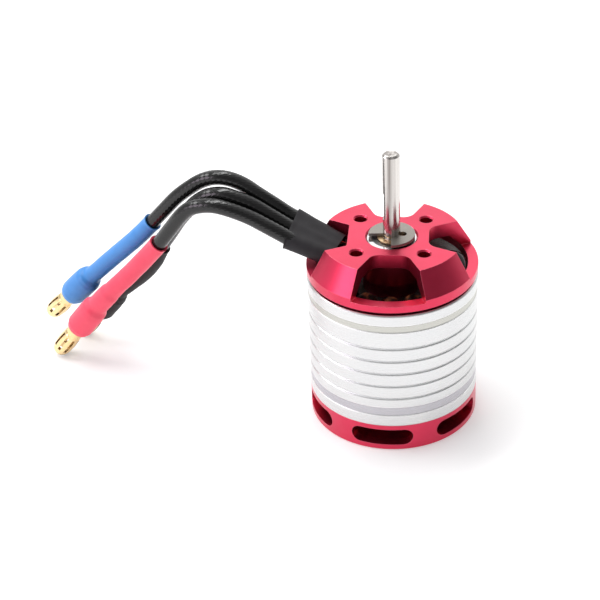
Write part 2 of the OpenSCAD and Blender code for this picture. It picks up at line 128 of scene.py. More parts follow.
def add_loft(bm, rings, closed=False):
    """Faces over rings of points. Open ends are filled; a closed loft joins its last ring
    to its first."""
    rows = [[bm.verts.new(p) for p in ring] for ring in rings]
    n = len(rows[0])
    pairs = list(zip(rows, rows[1:]))
    if closed:
        pairs.append((rows[-1], rows[0]))
    for low, high in pairs:
        for k in range(n):
            bm.faces.new((low[k], low[(k + 1) % n], high[(k + 1) % n], high[k]))
    if not closed:
        bm.faces.new(rows[0][::-1])
        bm.faces.new(rows[-1])


def to_mesh(name, bm):
    """A mesh with its faces outwards; bm is used up."""
    bmesh.ops.recalc_face_normals(bm, faces=bm.faces)
    mesh = bpy.data.meshes.new(name)
    bm.to_mesh(mesh)
    bm.free()
    return mesh


class Path:
    """A smooth line through points, with a frame that doesn't twist, read by arc length."""

    FINE = 12  # steps between two points

    def __init__(self, points):
        given = [Vector(p) for p in points]
        ends = [2 * given[0] - given[1], *given, 2 * given[-1] - given[-2]]
        self.points = [given[0]]
        for a, b, c, d in zip(ends, ends[1:], ends[2:], ends[3:]):
            for step in range(1, self.FINE + 1):
                t = step / self.FINE
                self.points.append(0.5 * (2 * b + (c - a) * t + (2 * a - 5 * b + 4 * c - d) * t**2
                                          + (3 * b - a - 3 * c + d) * t**3))
        self.lengths = [0.0]
        for p, q in zip(self.points, self.points[1:]):
            self.lengths.append(self.lengths[-1] + (q - p).length)
        self.length = self.lengths[-1]
        self.ways = [(q - p).normalized() for p, q in zip(self.points, self.points[1:])]
        self.ways.append(self.ways[-1])
        side = self.ways[0].cross(Vector((0, 0, 1))).normalized()
        self.sides = []
        for way in self.ways:
            side = (side - way * side.dot(way)).normalized()
            self.sides.append(side)

    def at(self, s):
        """The point, direction, side and up at arc length s; past an end it runs straight on."""
        if s <= 0:
            way, side = self.ways[0], self.sides[0]
            return self.points[0] + way * s, way, side, side.cross(way)
        if s >= self.length:
            way, side = self.ways[-1], self.sides[-1]
            return self.points[-1] + way * (s - self.length), way, side, side.cross(way)
        low, high = 0, len(self.lengths) - 1
        while high - low > 1:
            middle = (low + high) // 2
            if self.lengths[middle] <= s:
                low = middle
            else:
                high = middle
        t = (s - self.lengths[low]) / (self.lengths[high] - self.lengths[low])
        way = self.ways[low].lerp(self.ways[high], t).normalized()
        side = self.sides[low].lerp(self.sides[high], t)
        side = (side - way * side.dot(way)).normalized()
        return self.points[low].lerp(self.points[high], t), way, side, side.cross(way)

    def ring(self, s, radius, sides, swell=None):
        """Points round the path at s; swell(s, angle) adds to the radius."""
        p, _, side, up = self.at(s)
        made = []
        for k in range(sides):
            a = 2 * math.pi * k / sides
            r = radius + (swell(s, a) if swell else 0)
            made.append(p + r * (math.cos(a) * side + math.sin(a) * up))
        return made


def smooth_step(low, high, x):
    """0 at low and 1 at high, eased at both."""
    t = min(max((x - low) / (high - low), 0), 1)
    return t * t * (3 - 2 * t)


def bullet_path(colour):
    """The lead's route, the same with the bullet's straight line after it, and its direction."""
    route = [Vector(p) * MM for p in ROUTES[colour]]
    way = (Vector(AIMS[colour]) * MM - route[-1]).normalized()
    wire = Path(route)
    whole = Path([*route, *(route[-1] + way * BULLET_L * t for t in (0.25, 0.5, 0.75, 1))])
    return wire, whole, way


# ---------------------------------------------------------------- materials
RED = (0.84, 0.05, 0.12)
# Places and pitches on the metal parts are in millimetres.
# Red parts get painted shade, a darker red, inside this radius and below this height.
INSIDE_R, PLATE_Z = 12.5, 37.9
RED_PITCH = 0.11                         # between two turned lines
CAN_PITCH = 0.09
METAL_PITCH = 0.1
SHEET_PITCH = 0.35                       # between two sheets of the core
CAN_BANDS = ((8.62, 10.77), (28.9, 30.6))       # the lowest and highest z of each wide band
BAND_SHADES = ((0.51, 0.50, 0.53), (0.54, 0.54, 0.50))
BAND_RIM = 0.12                          # half the width of the painted highlight along a band's edge
BAND_RIM_HIGHLIGHT = (0.93, 0.93, 0.93)
CAN_GROOVE_Z = 19                        # the middle groove
CAN_GROOVE_PITCH = 3.03
CAN_GROOVE_COUNT = 5
CAN_GROOVE_HALF = 0.045                  # half a groove's width, as a share of the pitch


class Shader:
    """A material's nodes, added one call at a time."""

    # Cosines between the rounded and the flat normal, clear of an edge and on it
    CLEAR, ON_EDGE = 0.995, 0.86

    def __init__(self, name, colour, metallic=0.0, roughness=0.5, **constants):
        self.material = bpy.data.materials.new(name)
        self.material.use_nodes = True
        self.tree = self.material.node_tree
        self.main = self.tree.nodes["Principled BSDF"]
        self.main.inputs["Base Color"].default_value = (*colour, 1)
        self.main.inputs["Metallic"].default_value = metallic
        self.main.inputs["Roughness"].default_value = roughness
        for key, value in constants.items():
            self.main.inputs[key.replace("_", " ")].default_value = value

    def put(self, kind, inputs=(), **settings):
        """A node; inputs are (socket, value or output) pairs."""
        made = self.tree.nodes.new(kind)
        for key, value in settings.items():
            setattr(made, key, value)
        for socket, value in inputs:
            if isinstance(value, bpy.types.NodeSocket):
                self.tree.links.new(value, made.inputs[socket])
            else:
                made.inputs[socket].default_value = value
        return made

    def maths(self, operation, *values):
        return self.put("ShaderNodeMath", list(enumerate(values)), operation=operation).outputs[0]

    def place(self):
        """The point in millimetres: x, y, z and the distance from the shaft's axis."""
        where = self.put("ShaderNodeTexCoord").outputs["Object"]
        scaled = self.put("ShaderNodeVectorMath", [(0, where), (1, (1 / MM,) * 3)],
                          operation="MULTIPLY").outputs[0]
        parts = self.put("ShaderNodeSeparateXYZ", [(0, scaled)]).outputs
        radius = self.maths("SQRT", self.maths("ADD", self.maths("MULTIPLY", parts[0], parts[0]),
                                               self.maths("MULTIPLY", parts[1], parts[1])))
        return scaled, parts[0], parts[1], parts[2], radius

    def noise(self, vector, scale, detail=2.0, rough=0.5):
        return self.put("ShaderNodeTexNoise", [("Vector", vector), ("Scale", scale),
                                               ("Detail", detail), ("Roughness", rough)]).outputs[0]

    def spread(self, value, low, high):
        """value from 0 to 1 mapped to low to high."""
        return self.put("ShaderNodeMapRange", [("Value", value), ("To Min", low),
                                               ("To Max", high)]).outputs[0]

    def stretch(self, value, low, high):
        """value from low to high mapped to 0 to 1."""
        return self.put("ShaderNodeMapRange", [("Value", value), ("From Min", low),
                                               ("From Max", high)]).outputs[0]

    def mixed(self, factor, first, second):
        """A colour; first and second are colours or outputs."""
        node = self.put("ShaderNodeMix", data_type="RGBA")
        for index, value in ((0, factor), (6, first), (7, second)):
            if isinstance(value, bpy.types.NodeSocket):
                self.tree.links.new(value, node.inputs[index])
            else:
                node.inputs[index].default_value = value if index == 0 else (*value, 1)
        return node.outputs[2]

    def edges(self, width):
        """The normal rounded at edges, and how near an edge the point is."""
        round_normal = self.put("ShaderNodeBevel", [("Radius", width)], samples=4).outputs[0]
        flat_normal = self.put("ShaderNodeNewGeometry").outputs["Normal"]
        same = self.put("ShaderNodeVectorMath", [(0, round_normal), (1, flat_normal)],
                        operation="DOT_PRODUCT").outputs["Value"]
        return round_normal, self.stretch(same, self.CLEAR, self.ON_EDGE)

    def bump(self, height, distance, strength=1.0, normal=None):
        """A normal raised by height, over the surface's own or over the one given."""
        inputs = [("Height", height), ("Distance", distance), ("Strength", strength)]
        if normal is not None:
            inputs.append(("Normal", normal))
        return self.put("ShaderNodeBump", inputs).outputs[0]

    def to(self, socket, value):
        """An output joined to a socket of the surface."""
        self.tree.links.new(value, self.main.inputs[socket])
        return self


def turned_lines(shader, radius, z, pitch):
    """Noise that is the same all round the axis, as a lathe leaves it."""
    along = shader.put("ShaderNodeCombineXYZ", [(0, radius), (1, z)]).outputs[0]
    return shader.noise(along, 1 / pitch, 1.0)


def red_anodised():
    """Turned and dyed aluminium under a clear coat, with painted highlights along its edges and
    painted shade inside.
    """
    s = Shader("red_anodised", RED, 0.94, 0.3, Anisotropic=0.35, Coat_Weight=0.38,
               Coat_Roughness=0.2)
    where, _, _, z, radius = s.place()
    lines = turned_lines(s, radius, z, RED_PITCH)
    mottle = s.noise(where, 0.35, 3)
    rounded, near = s.edges(0.16 * MM)
    body = s.mixed(s.spread(mottle, 0, 1), (0.63, 0.025, 0.074), (0.71, 0.038, 0.100))
    # Painted shade: the insides of the red parts are coloured darker, as if out of the light
    under = s.maths("MULTIPLY", s.maths("LESS_THAN", radius, INSIDE_R),
                    s.maths("LESS_THAN", z, PLATE_Z))
    # Painted highlight: edges lightened towards pale pink
    lit = s.mixed(s.maths("MULTIPLY", near, 0.45), body, (1.0, 0.30, 0.38))
    s.to("Base Color", s.mixed(under, lit, (0.5, 0.030, 0.065)))
    s.to("Roughness", s.spread(lines, 0.24, 0.42))
    return s.to("Normal", s.bump(lines, 0.012 * MM, 0.7, rounded)).material


def can_steel():
    """Turned steel with two darker bands edged by painted highlights, and grooves painted bright
    against the shade in them.
    """
    s = Shader("can_steel", (0.93, 0.94, 0.95), 1.0, 0.24, Anisotropic=0.5)
    where, _, _, z, radius = s.place()
    lines = turned_lines(s, radius, z, CAN_PITCH)
    tint = s.noise(where, 0.12, 2)
    colour = s.mixed(tint, (0.665, 0.675, 0.685), (0.72, 0.72, 0.71))
    for (low, high), shade in zip(CAN_BANDS, BAND_SHADES):
        middle, half = (low + high) / 2, (high - low) / 2
        away = s.maths("ABSOLUTE", s.maths("SUBTRACT", z, middle))
        # Painted highlight along each band's edge, then the band's own darker tone inside it
        colour = s.mixed(s.maths("LESS_THAN", away, half + BAND_RIM), colour, BAND_RIM_HIGHLIGHT)
        colour = s.mixed(s.maths("LESS_THAN", away, half - BAND_RIM), colour, shade)
    # Painted light: the grooves are coloured near white and made less metallic, to lift the shade
    # that falls in them
    phase = s.maths("DIVIDE", s.maths("SUBTRACT", z, CAN_GROOVE_Z), CAN_GROOVE_PITCH)
    off = s.maths("ABSOLUTE", s.maths("SUBTRACT", phase, s.maths("ROUND", phase)))
    inside = s.maths("MULTIPLY", s.maths("LESS_THAN", off, CAN_GROOVE_HALF),
                     s.maths("LESS_THAN", s.maths("ABSOLUTE", phase), CAN_GROOVE_COUNT / 2))
    colour = s.mixed(inside, colour, (0.93, 0.95, 0.95))
    s.to("Base Color", colour)
    s.to("Metallic", s.spread(inside, 1, 0.5))
    s.to("Roughness", s.spread(lines, 0.2, 0.36))
    rounded, _ = s.edges(0.3 * MM)
    return s.to("Normal", s.bump(lines, 0.006 * MM, 0.6, rounded)).material


def metal(name, colour, rough, metallic=1.0):
    """A turned or ground metal part."""
    s = Shader(name, colour, metallic, rough[0])
    where, _, _, z, radius = s.place()
    lines = turned_lines(s, radius, z, METAL_PITCH)
    patch = s.noise(where, 0.8, 4)
    darker = tuple(c * 0.82 for c in colour)
    s.to("Base Color", s.mixed(patch, darker, colour))
    s.to("Roughness", s.spread(lines, *rough))
    rounded, _ = s.edges(0.08 * MM)
    return s.to("Normal", s.bump(lines, 0.004 * MM, 0.5, rounded)).material


def reflection_streaked_steel():
    """A shaft with painted reflections: light and dark streaks run up it, so they hardly change
    with z.
    """
    s = Shader("shaft_steel", (0.6, 0.58, 0.56), 1.0, 0.22)
    _, x, y, z, _ = s.place()
    across = s.put("ShaderNodeCombineXYZ", [(0, x), (1, y), (2, s.maths("MULTIPLY", z, 0.012))])
    painted_reflection = s.noise(across.outputs[0], 0.9, 3, 0.6)
    fine = s.noise(across.outputs[0], 6, 2)
    # Painted reflection: light and dark streaks up the shaft, in the base colour
    sharp = s.stretch(painted_reflection, 0.38, 0.62)
    s.to("Base Color", s.mixed(sharp, (0.26, 0.235, 0.22), (0.72, 0.69, 0.66)))
    s.to("Roughness", s.spread(fine, 0.12, 0.28))
    rounded, _ = s.edges(0.12 * MM)
    return s.to("Normal", s.bump(fine, 0.003 * MM, 0.5, rounded)).material


def clip_steel():
    """A stamped and tumbled clip, mottled, and lighter along its edges."""
    s = Shader("clip_steel", (0.30, 0.30, 0.29), 0.85, 0.45)
    where = s.place()[0]
    grain = s.noise(where, 7, 4, 0.7)
    rounded, near = s.edges(0.1 * MM)
    body = s.mixed(grain, (0.12, 0.11, 0.098), (0.44, 0.41, 0.37))
    s.to("Base Color", s.mixed(s.maths("MULTIPLY", near, 0.6), body, (0.75, 0.75, 0.73)))
    s.to("Roughness", s.spread(grain, 0.32, 0.55))
    return s.to("Normal", s.bump(grain, 0.01 * MM, 0.8, rounded)).material


def core_steel():
    """Stacked sheets, seen as fine lines."""
    s = Shader("core_steel", (0.09, 0.10, 0.095), 0.6, 0.45)
    where, _, _, z, _ = s.place()
    sheet = s.maths("ABSOLUTE", s.maths("SINE", s.maths("MULTIPLY", z, math.pi / SHEET_PITCH)))
    patch = s.noise(where, 0.9, 3)
    s.to("Base Color", s.mixed(patch, (0.05, 0.055, 0.055), (0.13, 0.135, 0.13)))
    return s.to("Normal", s.bump(sheet, 0.03 * MM)).material


def copper():
    """Varnished wire, mostly dark from its varnish and from painted shade inside the motor, with
    brighter patches.
    """
    s = Shader("copper", (0.62, 0.22, 0.07), 0.7, 0.28)
    where = s.place()[0]
    patch = s.noise(where, 0.7, 3)
    sharp = s.stretch(patch, 0.45, 0.72)
    # Painted shade: the near-black stands partly for the dark inside the motor
    s.to("Base Color", s.mixed(sharp, (0.012, 0.005, 0.004), (0.34, 0.10, 0.035)))
    return s.to("Roughness", s.spread(patch, 0.22, 0.42)).material


def plastic(name, dark, light, rough=(0.3, 0.45), grain=5.0, depth=0.012, **constants):
    """A moulded, shrunk or sleeved plastic surface."""
    s = Shader(name, light, 0.0, rough[0], **constants)
    where = s.place()[0]
    patch = s.noise(where, 0.45, 3)
    fine = s.noise(where, grain, 4, 0.6)
    s.to("Base Color", s.mixed(patch, dark, light))
    s.to("Roughness", s.spread(fine, *rough))
    return s.to("Normal", s.bump(fine, depth * MM, 0.6)).material


def gold_plate():
    """Painted highlights at its edges and painted shade, dark brown, in its slots."""
    s = Shader("gold_plate", (0.95, 0.72, 0.36), 1.0, 0.22)
    where = s.place()[0]
    patch = s.noise(where, 1.3, 4)
    rounded, near = s.edges(0.07 * MM)
    body = s.mixed(patch, (0.86, 0.60, 0.27), (0.99, 0.80, 0.47))
    # Painted highlight: edges lightened to pale gold
    lit = s.mixed(s.maths("MULTIPLY", near, 0.5), body, (1.0, 0.92, 0.68))
    # Painted shade: dark brown where ambient occlusion finds the slots and crevices closed in
    openness = s.put("ShaderNodeAmbientOcclusion", [("Distance", 1.2 * MM)],
                     samples=4).outputs["AO"]
    s.to("Base Color", s.mixed(s.spread(openness, -0.35, 1.25), (0.10, 0.045, 0.012), lit))
    s.to("Roughness", s.spread(patch, 0.16, 0.32))
    return s.to("Normal", rounded).material


MATERIALS = {
    "red_anodised": red_anodised(),
    "can_steel": can_steel(),
    "bearing_steel": metal("bearing_steel", (0.86, 0.87, 0.88), (0.08, 0.16)),
    "ball_steel": metal("ball_steel", (0.88, 0.89, 0.90), (0.05, 0.1)),
    "cage_brass": metal("cage_brass", (0.70, 0.52, 0.22), (0.25, 0.4)),
    "shield_steel": metal("shield_steel", (0.17, 0.17, 0.17), (0.3, 0.45)),
    "core_steel": core_steel(),
    # Painted shade: the insulators are coloured near black for the dark inside the motor
    "insulator": plastic("insulator", (0.010, 0.012, 0.011), (0.022, 0.028, 0.024)),
    "copper": copper(),
    "sleeve_black": plastic("sleeve_black", (0.006, 0.006, 0.007), (0.014, 0.013, 0.015),
                            (0.06, 0.12), 3, 0.004, Specular_IOR_Level=0.12),
    # Painted shade: the nickel-plated magnets are coloured near black for the dark inside the rotor
    "magnet_nickel": metal("magnet_nickel", (0.10, 0.095, 0.095), (0.35, 0.5)),
    "shaft_steel": reflection_streaked_steel(),
    "clip_steel": clip_steel(),
    "shim_bronze": metal("shim_bronze", (0.86, 0.62, 0.36), (0.2, 0.35)),
    "screw_steel": metal("screw_steel", (0.05, 0.05, 0.055), (0.3, 0.45), metallic=0.7),
    "braid_black": plastic("braid_black", (0.003, 0.003, 0.003), (0.008, 0.008, 0.008),
                           (0.12, 0.22), 3, 0.003, Specular_IOR_Level=0.5),
    "shrink_matte_black": plastic("shrink_matte_black", (0.017, 0.016, 0.018),
                                  (0.024, 0.022, 0.025), (0.5, 0.65), 6, 0.015,
                                  Specular_IOR_Level=0.25),
    "shrink_blue": plastic("shrink_blue", (0.042, 0.225, 0.60), (0.06, 0.29, 0.71),
                           (0.36, 0.5), 4, 0.012),
    "shrink_red": plastic("shrink_red", (0.86, 0.050, 0.105), (0.96, 0.078, 0.145),
                          (0.36, 0.5), 4, 0.012),
    "gold_plate": gold_plate(),
}
SLOT_OF = {row["node"]: row["material_slot"] for row in frame["record"]["subparts"]}
for name, piece in nodes.items():
    piece.data.materials.clear()
    piece.data.materials.append(MATERIALS[SLOT_OF[name]])

# ---------------------------------------------------------------- leads
STRANDS = 16                             # of the braid, each way round
STRAND_STEP = 0.56 * MM                  # between two rows of crossings, along the lead
STRAND_H = 0.1 * MM
STRAND_FLAT = 0.6                        # a power below 1 flattens a strand's top
CROSSING = 0.4                           # of its height, gained over a strand and lost under it
LEAD_SIDES = 48
LEAD_RING_STEP = 0.11 * MM
RINGS_PER_PATH_POINT = 6


def braid(s, a):
    """The height of flat strands that cross over and under each other, 0 at the highest."""
    u = STRANDS * a / 2 + math.pi * s / (2 * STRAND_STEP)
    v = STRANDS * a / 2 - math.pi * s / (2 * STRAND_STEP)
    cu, cv = math.cos(u), math.cos(v)
    over = CROSSING * cu * cv
    first = abs(cu) ** STRAND_FLAT * (1 - CROSSING + over)
    second = abs(cv) ** STRAND_FLAT * (1 - CROSSING - over)
    return STRAND_H * (max(first, second) - 1)


def make_lead(colour):
    """The braided lead, and the points it follows."""
    wire = bullet_path(colour)[0]
    count = int(wire.length / LEAD_RING_STEP)
    stations = [wire.length * i / count for i in range(count + 1)]
    bm = bmesh.new()
    add_loft(bm, [wire.ring(s, LEAD_R, LEAD_SIDES, braid) for s in stations])
    piece = link("braided_lead_" + colour, to_mesh("lead", bm), "stator",
                 MATERIALS["braid_black"], 80)
    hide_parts("lead_" + colour)
    line = [wire.at(s)[0] for s in stations[::RINGS_PER_PATH_POINT]]
    return piece, [*line, wire.points[-1]]


# ---------------------------------------------------------------- shrink tubes
SHRINK_FROM_END = 5                      # the route point, from its end, where the tube starts
SHRINK_SIDES = 48
SHRINK_RING_STEP = 0.22 * MM
SHRINK_RIPPLE = 0.05 * MM
SHRINK_LIP = 0.09 * MM                   # how far its cut end flares, over the length below
SHRINK_LIP_L = 0.7 * MM
# The inside of the wall: distance past the start or end, and gap to the lead or pin
SHRINK_END_INSIDE = ((0.05 * MM, 0.06 * MM), (-0.6 * MM, 0.03 * MM))
SHRINK_START_INSIDE = ((1.2 * MM, 0.01 * MM), (0.1 * MM, 0.08 * MM))
# Distance in millimetres past the bullet's back, and the tube's radius there
SHRINK_SHAPES = {
    "blue": [(-99, 1.92), (-1.1, 1.95), (-0.2, 2.7), (0.9, 3.0), (5, 3.05), (7, 2.98), (8.1, 2.65),
             (8.6, 2.15)],
    "red": [(-99, 2.0), (-7.2, 2.02), (-5.6, 2.3), (-0.9, 2.35), (0.7, 2.95), (2, 3.05), (7, 3.0),
            (8.1, 2.65), (8.6, 2.15)],
    "black": [(-99, 1.9), (-1.6, 1.95), (-0.2, 2.6), (0.9, 2.9), (7, 2.85), (8.1, 2.5),
              (8.6, 2.15)],
}


def shrink_radius(shape, t):
    """The tube's radius t millimetres past the bullet's back, eased from point to point."""
    for (t0, r0), (t1, r1) in zip(shape, shape[1:]):
        if t <= t1:
            return r0 + (r1 - r0) * smooth_step(t0, t1, t)
    return shape[-1][1]


def make_shrink(colour):
    """A tube that grips the lead and swells over the back of its bullet."""
    wire, whole, _ = bullet_path(colour)
    start = wire.lengths[(len(ROUTES[colour]) - SHRINK_FROM_END) * Path.FINE]
    end = wire.length + BULLET_L - BULLET_SHOW
    seed = Vector((len(colour) * 7.3, 1.7, 4.1))        # a different ripple on each tube

    def ripple(s, a):
        spot = Vector((math.cos(a) * 0.8, math.sin(a) * 0.8, s / (2.6 * MM))) + seed
        return SHRINK_RIPPLE * noise.noise(spot)

    def outer(s):
        base = shrink_radius(SHRINK_SHAPES[colour], (s - wire.length) / MM) * MM
        lip = SHRINK_LIP * (1 - smooth_step(start, start + SHRINK_LIP_L, s))
        return base + lip

    count = int((end - start) / SHRINK_RING_STEP)
    bm = bmesh.new()
    rings = []
    for i in range(count + 1):
        s = start + (end - start) * i / count
        rings.append(whole.ring(s, outer(s), SHRINK_SIDES, ripple))
    for past, gap in SHRINK_END_INSIDE:
        rings.append(whole.ring(end + past, PIN_R + gap, SHRINK_SIDES))
    for past, gap in SHRINK_START_INSIDE:
        rings.append(whole.ring(start + past, LEAD_R + gap, SHRINK_SIDES))
    add_loft(bm, rings, closed=True)
    slot = SLOT_OF["shrink_" + colour]
    piece = link("heat_shrink_" + colour, to_mesh("shrink", bm), "stator",
                 MATERIALS[slot], 50)
    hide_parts("shrink_" + colour)
    return piece


# ---------------------------------------------------------------- bullet connectors
PETALS = 8
SLOT_W = 0.6 * MM
# Distance from the connector's back and radius, in millimetres, of its solid back, its hollow
# tip and the outside of the petals between them
BODY_SHAPE = [(0.2, 0), (0.2, 2.1), (0.6, 2.5), (7.2, 2.55), (7.4, 2.4), (7.4, 1.9), (9.9, 1.9),
              (10, 1.78), (10.5, 1.78), (10.7, 1.9), (11.1, 1.92), (11.1, 0.9), (11.8, 0)]
TIP_SHAPE = [(15.5, 1.1), (15.5, 1.99), (16.1, 1.93), (16.7, 1.74), (17.2, 1.48), (17.2, 1.1)]
PETAL_SHAPE = [(10.9, 1.90), (11.6, 2.00), (12.6, 2.08), (13.8, 2.10), (14.8, 2.06), (15.7, 1.98)]
PETAL_INNER = 1.3 * MM
PETAL_T = 0.12 * MM                      # the least thickness of a petal
PETAL_TURN = 0.35                        # of a petal, from the horizontal
PETAL_STEPS = 8
BULLET_SIDES = 64
AXIS_R = 0.01                            # stands for a radius of 0


def make_bullet(colour):
    """A solid body and a hollow tip, joined by petals with slots between them."""
    wire, _, way = bullet_path(colour)
    back = wire.points[-1]
    side = way.cross(Vector((0, 0, 1))).normalized()
    up = side.cross(way)

    def point(t, r, a):
        return back + way * t + r * (math.cos(a) * side + math.sin(a) * up)

    def turned(shape):
        return [[point(t * MM, max(r, AXIS_R) * MM, 2 * math.pi * k / BULLET_SIDES)
                 for k in range(BULLET_SIDES)] for t, r in shape]

    bm = bmesh.new()
    add_loft(bm, turned(BODY_SHAPE))
    add_loft(bm, turned(TIP_SHAPE), closed=True)
    for petal in range(PETALS):
        middle = 2 * math.pi * (petal + PETAL_TURN) / PETALS
        sections = []
        for t, r in PETAL_SHAPE:
            outer, inner = r * MM, min(PETAL_INNER, r * MM - PETAL_T)
            # the slot's sides are parallel, so it takes a wider angle at the smaller radius
            wide = math.pi / PETALS - math.asin(SLOT_W / 2 / outer)
            thin = math.pi / PETALS - math.asin(SLOT_W / 2 / inner)
            arc = [-1 + 2 * k / PETAL_STEPS for k in range(PETAL_STEPS + 1)]
            sections.append([point(t * MM, outer, middle + wide * k) for k in arc]
                            + [point(t * MM, inner, middle - thin * k) for k in arc])
        add_loft(bm, sections)
    piece = link("bullet_plug_" + colour, to_mesh("bullet", bm), "stator",
                 MATERIALS["gold_plate"], 32)
    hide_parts("bullet_" + colour)
    return piece


# ---------------------------------------------------------------- collar
COLLAR_STEPS = 40
COLLAR_AROUND = 72
LOBE = 0.16 * MM                         # how far the tube dips between two wires
COLLAR_WAVE, COLLAR_WAVE_L = 0.05 * MM, 1.6 * MM
COLLAR_LIP = 0.07 * MM                   # how far the outer edge flares
COLLAR_LIP_FROM = 0.88                   # where the flare starts, as a share of the length
COLLAR_SKEW = 0.5 * MM                   # how far the outer edge is cut askew
# The inside of the wall: share of the length, how much thinner than the outside, and skew
COLLAR_INSIDE = ((1, 0.16 * MM, COLLAR_SKEW), (0.86, 0.26 * MM, 0), (0.14, 0.26 * MM, 0),
                 (0, 0.16 * MM, 0))


def make_collar():
    """A flat sleeve, wider where the leads come out, with a wall that thins at both ends."""
    way = (COLLAR_OUT - COLLAR_IN).normalized()
    level = Vector((0, 0, 1)).cross(way).normalized()
    side = math.sin(COLLAR_ROLL) * way.cross(level) - math.cos(COLLAR_ROLL) * level
    up = side.cross(way)

    def ring(t, shrink, skew):
        """t runs from 0 at the inner end to 1 at the outer; skew pulls one side outwards."""
        centre = COLLAR_IN.lerp(COLLAR_OUT, t)
        half = COLLAR_IN_HALF + t * (COLLAR_OUT_HALF - COLLAR_IN_HALF)
        radius = COLLAR_T / 2 - shrink
        flat = 2 * half
        total = 2 * flat + 2 * math.pi * radius
        made = []
        for k in range(COLLAR_AROUND):
            at = total * k / COLLAR_AROUND
            if at < flat:
                x, y, nx, ny = -half + at, radius, 0.0, 1.0
            elif at < flat + math.pi * radius:
                a = math.pi / 2 - (at - flat) / radius
                nx, ny = math.cos(a), math.sin(a)
                x, y = half + radius * nx, radius * ny
            elif at < 2 * flat + math.pi * radius:
                x, y, nx, ny = half - (at - flat - math.pi * radius), -radius, 0.0, -1.0
            else:
                a = -math.pi / 2 - (at - 2 * flat - math.pi * radius) / radius
                nx, ny = math.cos(a), math.sin(a)
                x, y = -half + radius * nx, radius * ny
            dip = 0.0
            if abs(x) < half:
                dip = LOBE * math.sin(math.pi * x / half) ** 2
            spot = Vector((x / COLLAR_WAVE_L, y / COLLAR_WAVE_L, t * 5))
            wave = COLLAR_WAVE * noise.noise(spot)
            away = wave - dip
            made.append(centre + side * (x + nx * away) + up * (y + ny * away)
                        + way * skew * x / half)
        return made

    bm = bmesh.new()
    rings = []
    for i in range(COLLAR_STEPS + 1):
        t = i / COLLAR_STEPS
        near = smooth_step(COLLAR_LIP_FROM, 1, t)
        rings.append(ring(t, -COLLAR_LIP * near, COLLAR_SKEW * near))
    rings.extend(ring(*inside) for inside in COLLAR_INSIDE)
    add_loft(bm, rings, closed=True)
    piece = link("lead_sleeve_collar", to_mesh("collar", bm), "stator",
                 MATERIALS["shrink_matte_black"], 40)
    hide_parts("lead_collar")
    return piece


# ---------------------------------------------------------------- windings
CORE_LOW, CORE_HIGH = (corner.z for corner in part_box("stator_core"))
COIL_LOW, COIL_HIGH = (corner.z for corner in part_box("phase_a_coils"))
COIL_INNER, COIL_OUTER = 8.5 * MM, 12.6 * MM
COIL_INNER_HALF, COIL_OUTER_HALF = 2.1 * MM, 3.0 * MM   # half a coil's width at those radii
TOOTH_HALF = 0.95 * MM
INSULATOR = 0.3 * MM
WIRE_R = 0.24 * MM
COIL_TURNS, COIL_LAYERS = 9, 5
TEETH = 12
# The teeth that each phase is wound on
PHASES = {"a": (0, 1, 6, 7), "b": (2, 3, 8, 9), "c": (4, 5, 10, 11)}
TURN_POINTS = 7                          # on each rounded corner
TURN_CORNER = 0.5 * MM                   # a corner's radius in the innermost layer
TURN_CORNER_GROWS = 1.2 * MM             # and how much larger it is in the outermost
TURN_CORNER_GAP = 0.05 * MM              # how much less than half the turn it stays
WIRE_SIDES = 6
WIRE_WOBBLE = 0.12 * MM
WOBBLE_PER_METRE = 900                   # how quickly the noise behind the wobble changes


def coil_turn(x, layer):
    """The corners of one turn of wire round a tooth on +X, as points round a rectangle."""
    share = (x - COIL_INNER) / (COIL_OUTER - COIL_INNER)
    widest = COIL_INNER_HALF + share * (COIL_OUTER_HALF - COIL_INNER_HALF) - WIRE_R
    narrow = TOOTH_HALF + INSULATOR + WIRE_R
    out = layer / (COIL_LAYERS - 1)
    half = narrow + out * (widest - narrow)
    low = CORE_LOW - INSULATOR - WIRE_R
    low += out * (COIL_LOW + WIRE_R - low)
    high = CORE_HIGH + INSULATOR + WIRE_R
    high += out * (COIL_HIGH - WIRE_R - high)
    corner = min(TURN_CORNER + out * TURN_CORNER_GROWS, half - TURN_CORNER_GAP)
    points = []
    for cy, cz, first in ((half - corner, high - corner, 0), (corner - half, high - corner, 1),
                          (corner - half, low + corner, 2), (half - corner, low + corner, 3)):
        for k in range(TURN_POINTS):
            a = math.pi / 2 * (first + k / (TURN_POINTS - 1))
            spot = Vector((x * WOBBLE_PER_METRE, cy * WOBBLE_PER_METRE + k, layer * 3.1 + first))
            points.append(Vector((x + WIRE_WOBBLE * noise.noise(spot),
                                  cy + corner * math.cos(a), cz + corner * math.sin(a))))
    return points


def add_loop(bm, points, radius, sides, turn):
    """A closed tube through points, turned about the shaft's axis."""
    n = len(points)
    rings = []
    for i in range(n):
        way = (points[(i + 1) % n] - points[i - 1]).normalized()
        out = Vector((1, 0, 0))
        out = (out - way * out.dot(way)).normalized()
        other = way.cross(out)
        rings.append([turn @ (points[i] + radius * (math.cos(2 * math.pi * k / sides) * out
                                                    + math.sin(2 * math.pi * k / sides) * other))
                      for k in range(sides)])
    add_loft(bm, rings, closed=True)


def make_windings(phase):
    """One phase's coils, turn by turn and layer by layer."""
    bm = bmesh.new()
    room = COIL_OUTER - COIL_INNER - 2 * WIRE_R
    for tooth in PHASES[phase]:
        turn = Matrix.Rotation(2 * math.pi * tooth / TEETH, 3, "Z")
        for i in range(COIL_TURNS):
            x = COIL_INNER + WIRE_R + room * i / (COIL_TURNS - 1)
            for layer in range(COIL_LAYERS):
                add_loop(bm, coil_turn(x, layer), WIRE_R, WIRE_SIDES, turn)
    piece = link("windings_" + phase, to_mesh("windings", bm), "stator",
                 MATERIALS["copper"], 80)
    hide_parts(f"phase_{phase}_coils")


